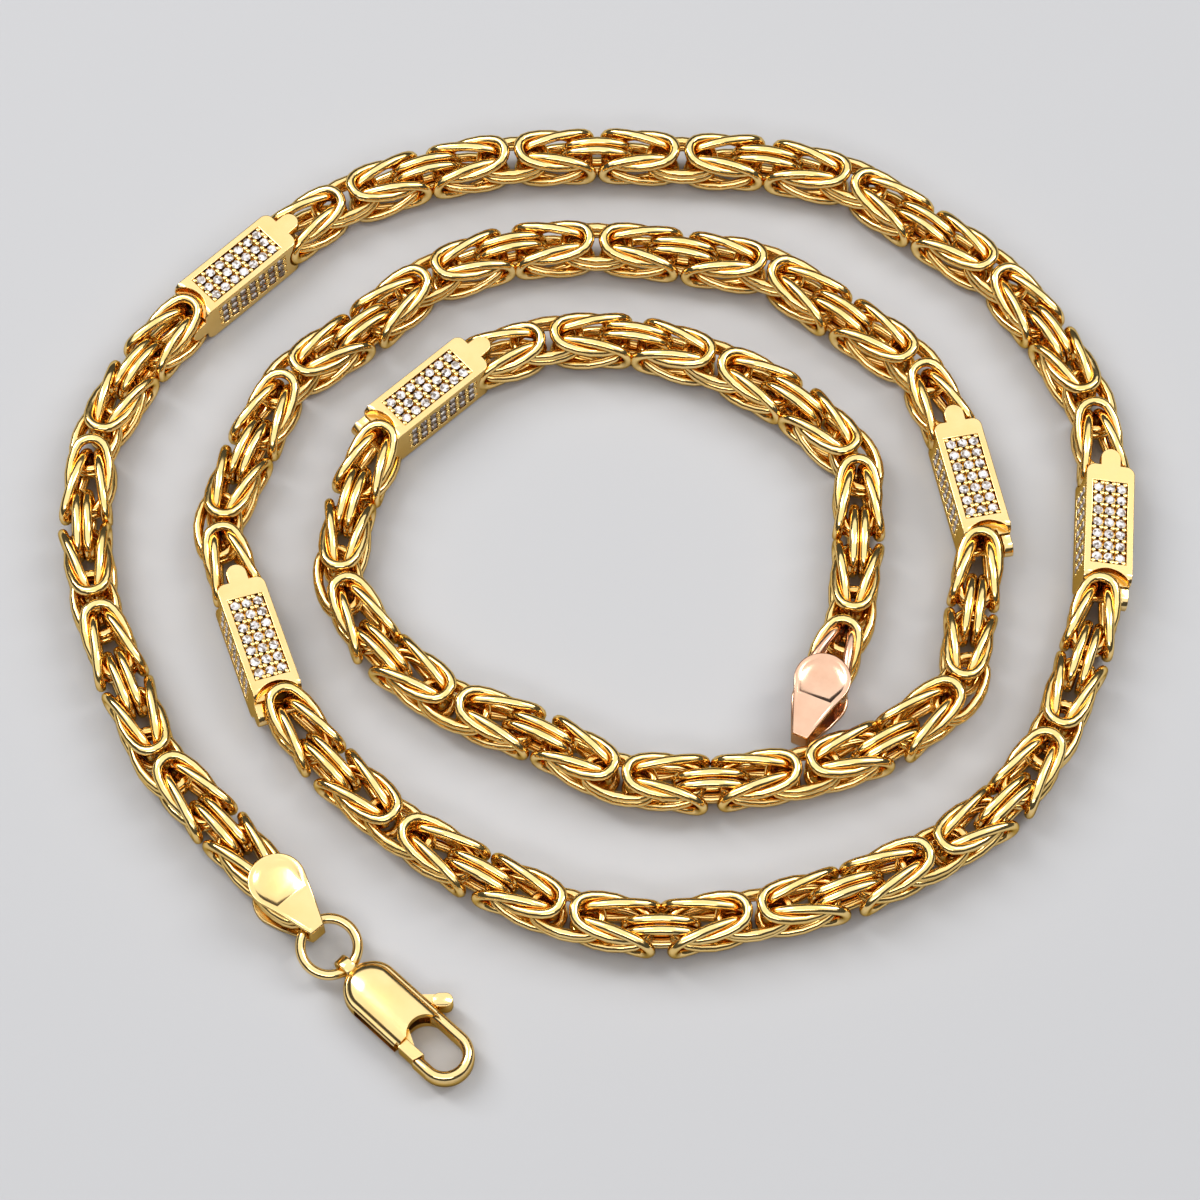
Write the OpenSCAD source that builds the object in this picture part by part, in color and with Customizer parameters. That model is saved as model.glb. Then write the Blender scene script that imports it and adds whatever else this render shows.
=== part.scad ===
// A Byzantine chain necklace laid down as a double spiral: six stretches of chain, five square
// bars set with stones, a folded cap at each end, a jump ring and a trigger clasp.
// Millimetres, +Z up. The origin lies on the resting surface, under the middle of the spiral.

/* [Chain] */
// Thickness of the chain over its links
chain_d = 4.8; // [4.6:0.1:4.8]
// Height of the chain's centre line above the surface it lies on
axis_h = 2.5; // [2.5:0.1:2.6]

/* [Bars] */
// Width and height of a bar's square section
bar_w = 4.4; // [4.3:0.1:4.4]
// Distance between the two chain joints at a bar's ends
bar_pitch = 9.5; // [9.4:0.1:9.5]
// Reach of a bar's shoulders beyond its chain joint
shoulder_reach = 1; // [0.95:0.05:1.1]
// Reach of a bar's tabs beyond its chain joint
tab_reach = 2.65; // [2.6:0.05:2.8]
// Width of a tab
tab_w = 1.8; // [1.6:0.1:1.8]
// Thickness of a tab
tab_t = 0.85; // [0.8:0.05:0.9]
// Radius of a bar's corners on both sides of a tab
shoulder_r = 0.8; // [0.6:0.1:0.9]
// Radius of the pin between two tabs
pin_r = 0.3; // [0.25:0.05:0.35]
// Radius of the scoop that a link's round end nests in
scoop_r = 2.35; // [2.3:0.05:2.4]
// Width of the plain rim round a field
rim_w = 0.6; // [0.55:0.05:0.6]
// Depth of a field below its rim, less than the rim's width so that a wall stays between fields
field_depth = 0.45; // [0.4:0.05:0.45]

/* [Stones] */
// Diameter of a stone over its girdle
stone_d = 0.9; // [0.8:0.05:0.95]
// Number of stones along a field
stones_along = 7; // [5:1:7]
// Number of stones across a field
stones_across = 3; // [2:1:3]
// Step from stone to stone along a field
stone_step_x = 1.15; // [1.1:0.05:1.2]
// Step from stone to stone across a field
stone_step_y = 1.05; // [1.05:0.01:1.06]

/* [Caps] */
// Radius of a cap's disc
cap_r = 2.5; // [2.4:0.05:2.6]
// Thickness of the folded strip
cap_t = 0.4; // [0.3:0.05:0.4]
// Distance from a disc's centre to the fold's outer face
cap_len = 5.3; // [5.2:0.1:5.4]
// Width of the strip at its fold
fold_w = 1.4; // [1.3:0.1:1.6]
// Height of the fold over its outer faces
fold_h = 2.2; // [2:0.1:2.4]
// Depth of the shallow dish pressed into a disc
dish_depth = 0.12; // [0.08:0.02:0.14]

/* [Jump ring] */
// Radius of the jump ring to the middle of its wire
ring_r = 2.45; // [2.4:0.05:2.5]
// Diameter of the jump ring's wire
ring_wire = 0.9; // [0.8:0.05:0.9]

/* [Clasp] */
// Width of the clasp over its housing
clasp_w = 5; // [4.9:0.1:5.1]
// Thickness of the clasp
clasp_t = 3; // [2.8:0.1:3]
// Thickness of the lever inside the housing
lever_t = 1.2; // [1.1:0.05:1.2]
// Radius of the hinge pin
hinge_r = 0.4; // [0.35:0.05:0.45]
// Radial clearance of the lever on its pin
hinge_gap = 0.05; // [0.03:0.01:0.08]

/* [Hidden] */

$fn = 64;
FINE = 128;
GOLD = "#e3b34c";
ROSE = "#d99a80";
STONE = "#dfe3ee";

// Joints of each stretch of chain as [x, y], from the clasp end to the free end
ROUTE_1 = [
    [-27, -29.5], [-32.5, -23.5], [-38, -17.5], [-41.5, -10], [-44.5, -2.5],
    [-46, 5.5], [-45.5, 14], [-42, 21.5], [-36.7, 28.1]
];
ROUTE_2 = [
    [-29.9, 34.7], [-23.5, 39.5], [-16, 42.5], [-8, 44], [0, 44.5], [8, 44], [16, 43.5],
    [24, 41.5], [30.5, 36.5], [37, 31.5], [41.5, 25], [45, 18], [45.9, 9.6]
];
ROUTE_3 = [
    [45.1, 0.1], [43, -7.5], [40, -15], [35.5, -21.5], [29, -26], [21.5, -29.5], [13.5, -31.5],
    [5.5, -33], [-2.5, -31.5], [-10, -28], [-17, -23.5], [-23.3, -17.7], [-28.35, -10.9]
];
ROUTE_4 = [
    [-31.6, -1.95], [-34, 5.3], [-31.5, 13], [-28, 20.5], [-21.5, 25.5], [-15.5, 31], [-8, 34],
    [0, 34.5], [8, 33.5], [16, 32], [22.5, 27], [29.2, 21.8], [32.6, 14.1]
];
ROUTE_5 = [
    [34.6, 4.8], [33.4, -2.9], [32, -10.5], [25.5, -15.8], [18, -18.4], [10, -19.6], [2, -19],
    [-5, -15], [-12.5, -12], [-19, -7], [-23, 0], [-22, 8], [-18.9, 15.3]
];
ROUTE_6 = [
    [-11.9, 21.7], [-4.5, 24.5], [3.5, 24.5], [11, 22], [18, 18],
    [23.5, 12], [23.5, 4], [22.5, -4], [19.5, -11.1]
];

ROUTES = [ROUTE_1, ROUTE_2, ROUTE_3, ROUTE_4, ROUTE_5, ROUTE_6];

// Each bar: the joint at its tab end, the joint at its scoop end, its roll about its own length
TAB_END = 0;
SCOOP_END = 1;
ROLL = 2;
BARS = [
    [ROUTE_2[0], ROUTE_1[8], 0],
    [ROUTE_2[12], ROUTE_3[0], -7],
    [ROUTE_4[0], ROUTE_3[12], -8],
    [ROUTE_4[12], ROUTE_5[0], -3],
    [ROUTE_6[0], ROUTE_5[12], 0]
];

// Chain as a tube: its sides, and [distance from the end joint, radius] for each kind of end
TUBE_SIDES = 10;
CHAIN_R = chain_d / 2;
NECK_R = axis_h - cap_t - 0.1;
BAR_END = [[tab_reach + 0.1, CHAIN_R]];
CLASP_CAP_END = [[1.2, NECK_R], [3.6, NECK_R], [4, CHAIN_R]];
TAIL_CAP_END = [[2.85, NECK_R], [3.6, NECK_R], [4, CHAIN_R]];

// Bar, seen from its tab end, where x is negative
CUT = 1;
TAB_JOINT = -bar_pitch / 2;
TAB_ROOT = 0.15;
SCOOP_INSET = 0.2;
SCOOP_FLOOR = 1.3;
SLOT_H = 2.1;
SLOT_INSET = -0.45;
PIN_REACH = 1.9;
RIM_AT_SCOOP = 0.5;
FIELD_L = stones_along * stone_step_x + 0.1;
FIELD_W = bar_w - 2 * rim_w;
FIELD_END = -TAB_JOINT - SCOOP_INSET - RIM_AT_SCOOP;

// Stone: table, crown over the girdle, and a pavilion that just clears the field's floor
TABLE_R = stone_d * 0.3;
CROWN_H = 0.12;
CULET_GAP = 0.03;
PAVILION_H = field_depth - CROWN_H - CULET_GAP;
GIRDLE_Z = bar_w / 2 - CROWN_H;

// Caps: how far the disc lies behind the last joint, and the post that holds the last links
CLASP_CAP_BACK = 0.3;
TAIL_CAP_BACK = 0.6;
CLASP_POST_X = 1.8;
TAIL_POST_X = -2.3;
POST_R = 0.45;
CREASE_X = 2.1;
DISH_R = cap_r - 0.45;
DISH_SPHERE = (DISH_R * DISH_R + dish_depth * dish_depth) / (2 * dish_depth);
STRIP_TURN = acos(cap_r / norm([cap_len, fold_w / 2])) + atan2(fold_w / 2, cap_len);

// Where the ends point, and how the jump ring leans from the cap's fold down to the clasp's bail
CLASP_JOINT = ROUTE_1[0];
TAIL_JOINT = ROUTE_6[8];
CLASP_CAP_HEADING = -48;
TAIL_CAP_HEADING = -113;
CLASP_TURN = 5.2;
BAIL_Z = clasp_t / 2;
RING_DROP = axis_h - BAIL_Z;
RING_GAP = 0.25;
RING_TILT = asin(RING_DROP / (2 * ring_r));
RING_START = cap_len - CLASP_CAP_BACK - cap_t - ring_wire / 2 - RING_GAP;
RING_MID = RING_START + ring_r * cos(RING_TILT);
BAIL_X = RING_START + 2 * ring_r * cos(RING_TILT);
RING_SPLIT = 1.5;
RING_SPLIT_AT = 160;

// Clasp, from the middle of the bail's hole along the clasp's length
BAIL_R = 1.15;
BAIL_HOLE_R = 0.72;
BAIL_W = 1.1;
NOSE_X = 3;
HOOK_X = 11.5;
DOME_R = 5.5;
HOLE_R = 1.5;
HOLE_Y = 0.1;
HOLE_X1 = 9;
HOLE_X2 = 11.4;
MOUTH_X = 7.9;
HINGE_X = 4.6;
SLOT_T = lever_t + 0.2;
SLOT_X1 = 3.2;
SLOT_X2 = 8.3;

// Lever, from its hinge: hub, gate towards the hook, thumb tab on the other side
HUB_R = 1.2;
GATE_R = 5.85;
GATE_ROOT = 4.2;
GATE_GAP = 0.12;
GATE_T = 1.9;
GATE_OUT = -2.3;
GATE_IN = -1.25;
THUMB_ANGLE = 43.5;
THUMB_LEN = 4.8;
THUMB_R = 0.62;
ARM_W = 1.15;

function unit(v) = v / norm(v);

// Point at distance d from a towards b
function toward(a, b, d) = a + unit(b - a) * d;

// Heading of the chain where it leaves stretch i and the next one begins, which is a bar's
function bar_heading(i) = unit(ROUTES[i + 1][0] - ROUTES[i][len(ROUTES[i]) - 1]);

// Heading of the end face of stretch i: square to the bar there, or to the chain at a cap
function head_heading(i) = i == 0 ? unit(ROUTES[i][1] - ROUTES[i][0]) : bar_heading(i - 1);
function tail_heading(i) = let (route = ROUTES[i], last = len(route) - 1)
    i == len(ROUTES) - 1 ? unit(route[last] - route[last - 1]) : bar_heading(i);

// Point on the chain towards b, as far from joint a as d measured along a heading
function end_point(a, b, d, heading) = a + unit(b - a) * d / abs(unit(b - a) * heading);

// Rows of [[x, y], radius]: the route with its end joints replaced by the tube's own ends
function tube_rows(i, head, tail) = let (route = ROUTES[i], last = len(route) - 1) concat(
    [for (e = head) [end_point(route[0], route[1], e[0], head_heading(i)), e[1]]],
    [for (k = [1:last - 1]) [route[k], CHAIN_R]],
    [
        for (k = [len(tail) - 1:-1:0])
            [end_point(route[last], route[last - 1], tail[k][0], tail_heading(i)), tail[k][1]]
    ]
);

// Direction across the tube at a row, longer at a bend so that the walls stay straight
function across(rows, i, first, end) = let (
    last = len(rows) - 1,
    before = i == 0 ? undef : unit(rows[i][0] - rows[i - 1][0]),
    after = i == last ? undef : unit(rows[i + 1][0] - rows[i][0]),
    mid = i == 0 ? first : i == last ? end : unit(before + after)
) [-mid[1], mid[0]] / (mid * (i == last ? before : after));

module tube(n, head, tail) {
    rows = tube_rows(n, head, tail);
    first = head_heading(n);
    end = tail_heading(n);
    count = len(rows);
    points = [
        for (i = [0:count - 1]) let (side = across(rows, i, first, end)) for (k = [0:TUBE_SIDES - 1]) let (
            turn = 360 * k / TUBE_SIDES,
            place = rows[i][0] + side * rows[i][1] * cos(turn)
        ) [place[0], place[1], axis_h + rows[i][1] * sin(turn)]
    ];
    walls = [
        for (i = [0:count - 2], k = [0:TUBE_SIDES - 1]) let (
            next = (k + 1) % TUBE_SIDES,
            here = i * TUBE_SIDES,
            there = here + TUBE_SIDES
        ) [here + k, here + next, there + next, there + k]
    ];
    start_face = [for (k = [TUBE_SIDES - 1:-1:0]) k];
    end_face = [for (k = [0:TUBE_SIDES - 1]) (count - 1) * TUBE_SIDES + k];
    color(GOLD)
        polyhedron(points = points, faces = concat(walls, [start_face, end_face]), convexity = 8);
}

module chain_1() { tube(0, CLASP_CAP_END, BAR_END); }
module chain_2() { tube(1, BAR_END, BAR_END); }
module chain_3() { tube(2, BAR_END, BAR_END); }
module chain_4() { tube(3, BAR_END, BAR_END); }
module chain_5() { tube(4, BAR_END, BAR_END); }
module chain_6() { tube(5, BAR_END, TAIL_CAP_END); }

// Puts a bar's own frame, x from its tab end to its scoop end, where the bar lies
module at_bar(i) {
    tab = BARS[i][TAB_END];
    run = BARS[i][SCOOP_END] - tab;
    mid = tab + run / 2;
    translate([mid[0], mid[1], axis_h])
        rotate([0, 0, atan2(run[1], run[0])])
            rotate([BARS[i][ROLL], 0, 0])
                children();
}

// The same form from the other end too, turned a quarter about the bar's length
module both_ends() {
    children();
    rotate([90, 0, 0])
        mirror([1, 0, 0])
            children();
}

// The same form on two opposite faces
module both_faces() {
    for (turn = [0, 180])
        rotate([turn, 0, 0])
            children();
}

module bar_tabs() {
    tip = tab_w / 2;
    both_faces()
        translate([TAB_JOINT - tab_reach + tip, 0, bar_w / 2 - tab_t])
            linear_extrude(tab_t)
                union() {
                    circle(r = tip);
                    translate([0, -tip]) square([tab_reach - tip + TAB_ROOT, tab_w]);
                }
    translate([TAB_JOINT - PIN_REACH, 0, -bar_w / 2 + tab_t / 2])
        cylinder(r = pin_r, h = bar_w - tab_t);
}

// Cut away at each end: a scoop in two faces, a slot for the link ends, a field in the others
module bar_cuts() {
    both_faces()
        translate([TAB_JOINT + SCOOP_INSET - scoop_r, SCOOP_FLOOR, 0])
            rotate([-90, 0, 0])
                cylinder(r = scoop_r, h = bar_w);
    translate([TAB_JOINT - shoulder_reach - CUT, -bar_w, -SLOT_H / 2])
        cube([shoulder_reach + SLOT_INSET + CUT, 2 * bar_w, SLOT_H]);
    both_faces()
        translate([FIELD_END - FIELD_L, -FIELD_W / 2, bar_w / 2 - field_depth])
            cube([FIELD_L, FIELD_W, field_depth + CUT]);
}

// Block seen from above, with round corners at its tab end
module bar_plan() {
    length = bar_pitch + 2 * shoulder_reach;
    translate([-length / 2 + shoulder_r, -bar_w / 2])
        square([length - shoulder_r, bar_w]);
    translate([-length / 2, -bar_w / 2 + shoulder_r])
        square([length, bar_w - 2 * shoulder_r]);
    for (side = [-1, 1])
        translate([-length / 2 + shoulder_r, side * (bar_w / 2 - shoulder_r)])
            circle(r = shoulder_r);
}

// The block's corners are round from above at one end and from the side at the other
module bar_block() {
    intersection() {
        linear_extrude(bar_w, center = true) bar_plan();
        rotate([90, 0, 0])
            mirror([1, 0, 0])
                linear_extrude(bar_w, center = true) bar_plan();
    }
}

module bar(i) {
    color(GOLD) at_bar(i) {
        difference() {
            bar_block();
            both_ends() bar_cuts();
        }
        both_ends() bar_tabs();
    }
}

// Round stone with a table, eight crown facets and eight pavilion facets
module stone() {
    rotate([0, 0, 22.5])
        rotate_extrude($fn = 8)
            polygon([[0, -PAVILION_H], [stone_d / 2, 0], [TABLE_R, CROWN_H], [0, CROWN_H]]);
}

module stones(i) {
    first = [
        FIELD_END - FIELD_L / 2 - (stones_along - 1) / 2 * stone_step_x,
        -(stones_across - 1) / 2 * stone_step_y
    ];
    color(STONE) at_bar(i)
        for (a = [0:stones_along - 1], b = [0:stones_across - 1])
            translate([first[0] + a * stone_step_x, first[1] + b * stone_step_y, GIRDLE_Z])
                stone();
}

// Folded cap: the chain's last joint at the origin, the fold towards +X
module cap(back, post_x) {
    crease = CREASE_X - back;
    fold = cap_len - back;
    far = cap_r + back;
    side_x = cap_r * cos(STRIP_TURN) - back;
    side_y = cap_r * sin(STRIP_TURN);
    half = axis_h;
    low = fold_h / 2;
    difference() {
        intersection() {
            translate([0, 0, -half])
                linear_extrude(2 * half)
                    union() {
                        translate([-back, 0]) circle(r = cap_r);
                        polygon([
                            [side_x, -side_y], [fold, -fold_w / 2], [fold, fold_w / 2], [side_x, side_y]
                        ]);
                    }
            rotate([90, 0, 0])
                linear_extrude(2 * cap_r, center = true)
                    polygon([
                        [-far, half], [crease, half], [fold, low], [fold, -low],
                        [crease, -half], [-far, -half], [-far, cap_t - half],
                        [crease, cap_t - half], [fold - cap_t, cap_t - low],
                        [fold - cap_t, low - cap_t], [crease, half - cap_t], [-far, half - cap_t]
                    ]);
        }
        translate([-back, 0, half - dish_depth + DISH_SPHERE])
            sphere(r = DISH_SPHERE, $fn = FINE);
    }
    translate([post_x, 0, -half + cap_t / 2])
        cylinder(r = POST_R, h = 2 * half - cap_t);
}

module at_joint(joint, heading, height) {
    translate([joint[0], joint[1], height])
        rotate([0, 0, heading])
            children();
}

module clasp_cap() {
    color(GOLD) at_joint(CLASP_JOINT, CLASP_CAP_HEADING, axis_h)
        cap(CLASP_CAP_BACK, CLASP_POST_X);
}

module tail_cap() {
    color(ROSE) at_joint(TAIL_JOINT, TAIL_CAP_HEADING, axis_h)
        cap(TAIL_CAP_BACK, TAIL_POST_X);
}

// Wire ring, cut once, that hangs in the cap's fold and leans down to the clasp's bail
module jump_ring() {
    color(GOLD) at_joint(CLASP_JOINT, CLASP_CAP_HEADING, axis_h - RING_DROP / 2)
        translate([RING_MID, 0, 0])
            rotate([0, RING_TILT, 0])
                rotate([0, 0, RING_SPLIT_AT])
                    rotate_extrude(angle = 360 - RING_SPLIT)
                        translate([ring_r, 0])
                            circle(d = ring_wire);
}

module at_clasp() {
    at_joint(CLASP_JOINT, CLASP_CAP_HEADING, BAIL_Z)
        translate([BAIL_X, 0, 0])
            rotate([0, 0, CLASP_TURN])
                children();
}

// Clasp from above: round nose, housing and hook with its hole, open where the gate closes it
module clasp_plan() {
    difference() {
        union() {
            for (x = [NOSE_X, HOOK_X])
                translate([x, 0]) circle(d = clasp_w);
            translate([NOSE_X, -clasp_w / 2]) square([HOOK_X - NOSE_X, clasp_w]);
        }
        for (x = [HOLE_X1, HOLE_X2])
            translate([x, HOLE_Y]) circle(r = HOLE_R);
        translate([HOLE_X1, HOLE_Y - HOLE_R]) square([HOLE_X2 - HOLE_X1, 2 * HOLE_R]);
        intersection() {
            translate([HINGE_X, 0]) circle(r = GATE_R + GATE_GAP, $fn = FINE);
            translate([MOUTH_X, -clasp_w]) square([clasp_w, clasp_w]);
        }
    }
}

// A long cylinder that touches the clasp's top, or its bottom when it is turned over
module clasp_dome() {
    translate([-CUT, 0, clasp_t / 2 - DOME_R])
        rotate([0, 90, 0])
            cylinder(r = DOME_R, h = HOOK_X + clasp_w, $fn = FINE);
}

module clasp_slot() {
    translate([SLOT_X1, -clasp_w, -SLOT_T / 2])
        cube([SLOT_X2 - SLOT_X1, 2 * clasp_w, SLOT_T]);
    translate([SLOT_X1, -clasp_w, -SLOT_T / 2])
        cube([HOLE_X1 - SLOT_X1, clasp_w + HOLE_R, SLOT_T]);
}

module clasp_body() {
    color(GOLD) at_clasp() {
        difference() {
            intersection() {
                translate([0, 0, -clasp_t / 2])
                    linear_extrude(clasp_t)
                        clasp_plan();
                clasp_dome();
                rotate([180, 0, 0]) clasp_dome();
            }
            clasp_slot();
            bail_hole();
        }
        difference() {
            rotate([90, 0, 0])
                cylinder(r = BAIL_R, h = BAIL_W, center = true);
            bail_hole();
        }
        translate([HINGE_X, 0, -SLOT_T])
            cylinder(r = hinge_r, h = 2 * SLOT_T);
    }
}

module bail_hole() {
    rotate([90, 0, 0])
        cylinder(r = BAIL_HOLE_R, h = clasp_w, center = true);
}

// Lever from above: hub, arm to the gate and arm to the thumb tab
module lever_plan() {
    thumb = THUMB_LEN * [cos(THUMB_ANGLE), sin(THUMB_ANGLE)];
    side = ARM_W / 2 * [-sin(THUMB_ANGLE), cos(THUMB_ANGLE)];
    circle(r = HUB_R);
    polygon([side, -side, thumb - side, thumb + side]);
    intersection() {
        circle(r = GATE_R, $fn = FINE);
        polygon([
            [0, -HUB_R], [GATE_ROOT - 1, GATE_OUT], [GATE_R, GATE_OUT],
            [GATE_R, GATE_IN], [GATE_ROOT - 1, GATE_IN], [0, HUB_R]
        ]);
    }
}

// The gate's front part, thicker than the plate that the housing holds
module gate_front() {
    linear_extrude(GATE_T, center = true)
        difference() {
            intersection() {
                circle(r = GATE_R, $fn = FINE);
                translate([0, GATE_OUT]) square([GATE_R, GATE_IN - GATE_OUT]);
            }
            circle(r = GATE_ROOT);
        }
}

module clasp_lever() {
    color(GOLD) at_clasp()
        translate([HINGE_X, 0, 0])
            difference() {
                union() {
                    linear_extrude(lever_t, center = true)
                        lever_plan();
                    gate_front();
                    translate(THUMB_LEN * [cos(THUMB_ANGLE), sin(THUMB_ANGLE), 0])
                        cylinder(r = THUMB_R, h = GATE_T, center = true);
                }
                cylinder(r = hinge_r + hinge_gap, h = 2 * lever_t, center = true);
            }
}

chain_1();
chain_2();
chain_3();
chain_4();
chain_5();
chain_6();
bar(0);  // bar_1
bar(1);  // bar_2
bar(2);  // bar_3
bar(3);  // bar_4
bar(4);  // bar_5
stones(0);  // stones_1
stones(1);  // stones_2
stones(2);  // stones_3
stones(3);  // stones_4
stones(4);  // stones_5
clasp_cap();
tail_cap();
jump_ring();
clasp_body();
clasp_lever();
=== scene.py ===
# %% [markdown]
# # A Byzantine chain necklace
# The necklace lies in a double spiral: 374 oval rings of round wire, worked into a Byzantine weave,
# five square bars set with small stones, a folded cap at each end, a jump ring and a trigger clasp.
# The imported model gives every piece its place. It shows each stretch of chain as a plain tube, and
# this lesson puts the real rings there, then the beads and stones of the bars, then the rounded,
# polished forms of the clasp and caps. Blender works in metres, so sizes are given in millimetres
# and multiplied by MM.

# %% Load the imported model
import math
import random

import bmesh
import bpy
from mathutils import Matrix, Vector


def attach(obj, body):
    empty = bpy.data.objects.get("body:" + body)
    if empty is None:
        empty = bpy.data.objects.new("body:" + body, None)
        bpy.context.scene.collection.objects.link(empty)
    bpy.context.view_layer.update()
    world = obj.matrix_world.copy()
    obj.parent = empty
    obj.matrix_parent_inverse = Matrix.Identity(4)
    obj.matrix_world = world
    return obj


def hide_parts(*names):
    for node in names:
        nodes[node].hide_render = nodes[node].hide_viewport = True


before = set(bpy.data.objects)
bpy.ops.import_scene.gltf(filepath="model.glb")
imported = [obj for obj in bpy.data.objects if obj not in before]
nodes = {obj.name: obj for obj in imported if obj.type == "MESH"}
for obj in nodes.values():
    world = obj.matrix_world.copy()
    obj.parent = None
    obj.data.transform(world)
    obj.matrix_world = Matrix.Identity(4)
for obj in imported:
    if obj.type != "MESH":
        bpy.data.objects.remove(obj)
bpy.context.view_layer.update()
MM = 0.001

# %% [markdown]
# ## The camera
# The necklace is seen from 65 degrees above the table and from about 31 cm away, with a long lens
# that keeps the far side of the spiral nearly as large as the near side. A camera looks along its
# own -Z, so `to_track_quat` turns it from its place towards the point that it looks at.

# %% Camera
EYE = Vector((0.3, -135.4, 289.0)) * MM
AIM = Vector((0.3, -2.7, 4.4)) * MM
LENS = 106.6

camera = bpy.data.objects.new("camera", bpy.data.cameras.new("camera"))
bpy.context.scene.collection.objects.link(camera)
camera.location = EYE
camera.rotation_mode = "QUATERNION"
camera.rotation_quaternion = (AIM - EYE).to_track_quat("-Z", "Y")
camera.data.lens = LENS
camera.data.sensor_width = 36
camera.data.clip_start = 0.01
camera.data.clip_end = 10
bpy.context.scene.camera = camera
print("camera at", [round(c, 4) for c in EYE], "lens", LENS)

# %% [markdown]
# ## Table and light
# Polished metal has no look of its own: it shows what is around it. A photographer of jewellery
# hangs a wide scrim over the piece, not too bright, so that flat faces turned up stay yellow. Small
# bright boxes at the sides then draw the nearly white streaks along the wires, and the rest of the
# room is left dark, so that the wires fall off to olive and brown in between. The strength of each
# lamp is given as the brightness that a mirror would show.

# %% Soft boxes
SOFT_BOXES = [  # name, place, point that it faces, width and height in metres, brightness
    ("scrim_above", (0, 0.12, 0.55), (0, 0.12, 0), 1.30, 1.05, 0.95),
    ("box_left", (-0.30, 0.20, 0.44), (0, 0, 0), 0.11, 0.42, 7.0),
    ("box_right", (0.34, 0.12, 0.42), (0, 0, 0), 0.10, 0.34, 6.0),
    ("box_front", (-0.05, -0.34, 0.38), (0, 0, 0), 0.36, 0.10, 3.5),
]


def soft_box(name, place, aim, width, height, bright):
    """A rectangular lamp, its size in metres and its strength as a mirror shows it."""
    lamp = bpy.data.objects.new(name, bpy.data.lights.new(name, "AREA"))
    bpy.context.scene.collection.objects.link(lamp)
    lamp.data.shape = "RECTANGLE"
    lamp.data.size = width
    lamp.data.size_y = height
    lamp.data.energy = bright * math.pi * width * height
    lamp.location = place
    lamp.rotation_mode = "QUATERNION"
    lamp.rotation_quaternion = (Vector(aim) - Vector(place)).to_track_quat("-Z", "Y")


for row in SOFT_BOXES:
    soft_box(*row)

# %% [markdown]
# The floor is one large plane of plain pale paper. It lies a tenth of a millimetre under the lowest
# ring, so that the two never fight for the same height. A dim grey world stands for the rest of the
# room. The look adds some contrast, which deepens the dark gold the way a photographer's curve
# does.

# %% Floor and room
FLOOR_SIZE, FLOOR_DROP = 4, 0.0001
FLOOR_TONE = (0.52, 0.52, 0.53, 1)
ROOM_TONE, ROOM_LIGHT = (0.30, 0.31, 0.33, 1), 0.25

bpy.ops.mesh.primitive_plane_add(size=FLOOR_SIZE, location=(0, 0, -FLOOR_DROP))
floor = bpy.context.object
floor.name = "floor"
paper = bpy.data.materials.new("pale_paper")
paper.use_nodes = True
matt = paper.node_tree.nodes["Principled BSDF"]
matt.inputs["Base Color"].default_value = FLOOR_TONE
matt.inputs["Roughness"].default_value = 0.9
floor.data.materials.append(paper)

room = bpy.data.worlds.new("dim_room")
room.use_nodes = True
room.node_tree.nodes["Background"].inputs["Color"].default_value = ROOM_TONE
room.node_tree.nodes["Background"].inputs["Strength"].default_value = ROOM_LIGHT
bpy.context.scene.world = room
bpy.context.scene.view_settings.view_transform = "Standard"
bpy.context.scene.view_settings.look = "Medium High Contrast"
print("floor:", floor.name, "world:", room.name)

# %% [markdown]
# ## One group for the hand of the polisher and for painted shade
# Every metal here has been tumbled and buffed, and no two spots have quite the same gloss. One node
# group is built once and placed in each metal with its own values. It could be three separate
# groups, but the parts share one noise. It gives four things that change over the surface: a
# roughness, a mask for the tint, a height for a bump so low that it only makes the reflections
# waver, and a mask for the nooks, which the metals use to paint shade into their colour. It reads
# Object coordinates, which are the same on every piece because every finished piece sits at the
# origin. First come the small helpers that build it.

# %% Node helpers
def new_group(name, ins, outs):
    """A node group with inputs (label, value) and outputs, all of them plain values."""
    group = bpy.data.node_groups.new(name, "ShaderNodeTree")
    for label, value in ins:
        socket = group.interface.new_socket(label, in_out="INPUT", socket_type="NodeSocketFloat")
        socket.default_value = value
    for label in outs:
        group.interface.new_socket(label, in_out="OUTPUT", socket_type="NodeSocketFloat")
    return group, group.nodes.new("NodeGroupInput"), group.nodes.new("NodeGroupOutput")


def noise(tree, place, scale, detail):
    """The Fac of a noise at a place, with its scale from a socket."""
    node = tree.nodes.new("ShaderNodeTexNoise")
    node.inputs["Detail"].default_value = detail
    tree.links.new(place, node.inputs["Vector"])
    tree.links.new(scale, node.inputs["Scale"])
    return node.outputs["Fac"]


def remap(tree, value, low, high, to_low=0.0, to_high=1.0):
    """value from low..high to to_low..to_high, each of them a number or a socket."""
    node = tree.nodes.new("ShaderNodeMapRange")
    for label, given in (("Value", value), ("From Min", low), ("From Max", high),
                         ("To Min", to_low), ("To Max", to_high)):
        if isinstance(given, (int, float)):
            node.inputs[label].default_value = given
        else:
            tree.links.new(given, node.inputs[label])
    return node.outputs["Result"]


print("node helpers:", [f.__name__ for f in (new_group, noise, remap)])

# %% [markdown]
# The nooks, where another wire or a wall stands close by, are found by an Ambient Occlusion node
# that looks 1.3 mm far. In real metal they go amber, because the light there has bounced many
# times. Here that amber is painted shade: the mask darkens the base colour in the nooks.

# %% Polish and painted shade group
NOOK_REACH = 1.3
GRAIN_SHARE = 0.15

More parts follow.
